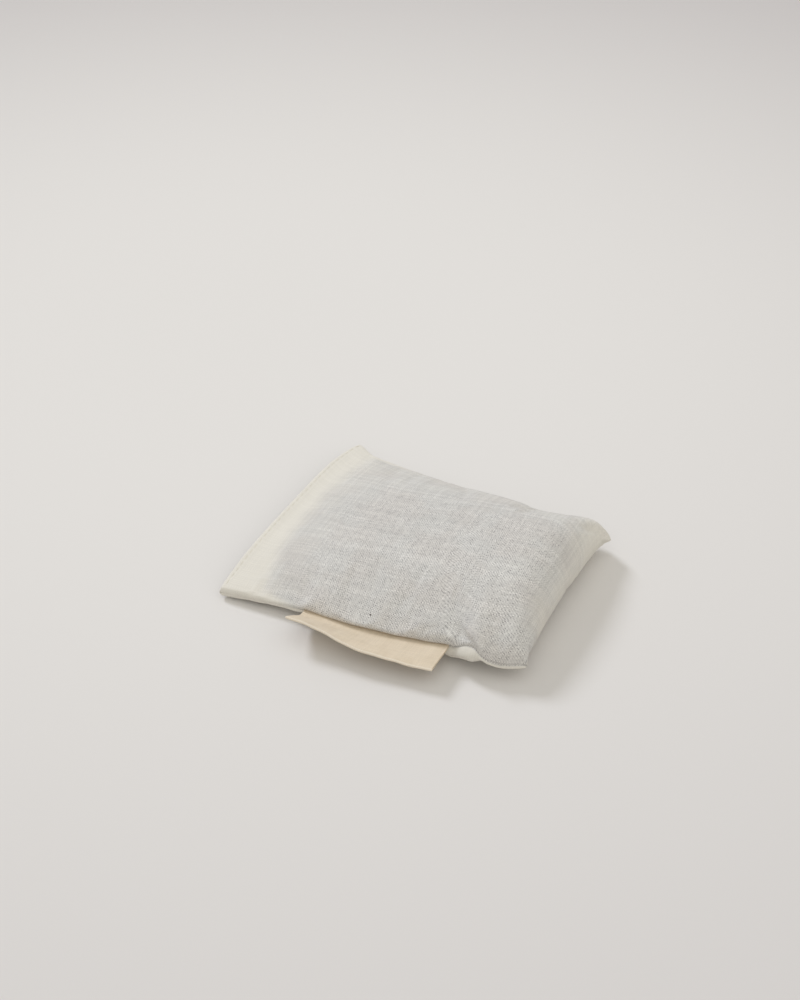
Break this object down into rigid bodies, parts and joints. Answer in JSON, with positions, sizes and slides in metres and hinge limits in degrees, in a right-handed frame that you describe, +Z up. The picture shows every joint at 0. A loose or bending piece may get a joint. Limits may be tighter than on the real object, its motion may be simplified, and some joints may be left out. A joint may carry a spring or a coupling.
{
  "type": "lavender sachet",
  "caption": "Small muslin pillow filled with dried lavender, top-stitched shut at one end and folded at the other, with a folded cotton tape label caught in one side seam.",
  "frame": {"origin": "middle of the flat underside, halfway between the closed hem and the folded end", "axes": "+X from the closed hem to the folded end, -Y towards the label's side seam, +Z up from the surface it lies on"},
  "size_m": [0.1146, 0.1086, 0.0221],
  "materials": {
    "muslin": "matte",
    "label_tape": "matte",
    "thread": "matte",
    "lavender": "matte"
  },
  "bodies": {
    "pouch": {"pouch_cloth": "muslin", "lavender_fill": "lavender", "label_tail": "label_tape", "closing_needle_thread": "thread", "closing_bobbin_thread": "thread", "front_seam_needle_thread": "thread", "front_seam_bobbin_thread": "thread", "back_seam_needle_thread": "thread", "back_seam_bobbin_thread": "thread"},
    "label": {"label_flap": "label_tape"}
  },
  "joints": [
    {"name": "label_bend", "type": "hinge", "parent": "pouch", "child": "label", "pos_m": [0.003, -0.04423, 0.00573], "axis": [-0.9926, -0.1152, -0.0382], "range_deg": [-80, 70], "stiffness_Nm_per_rad": 0.0002}
  ]
}
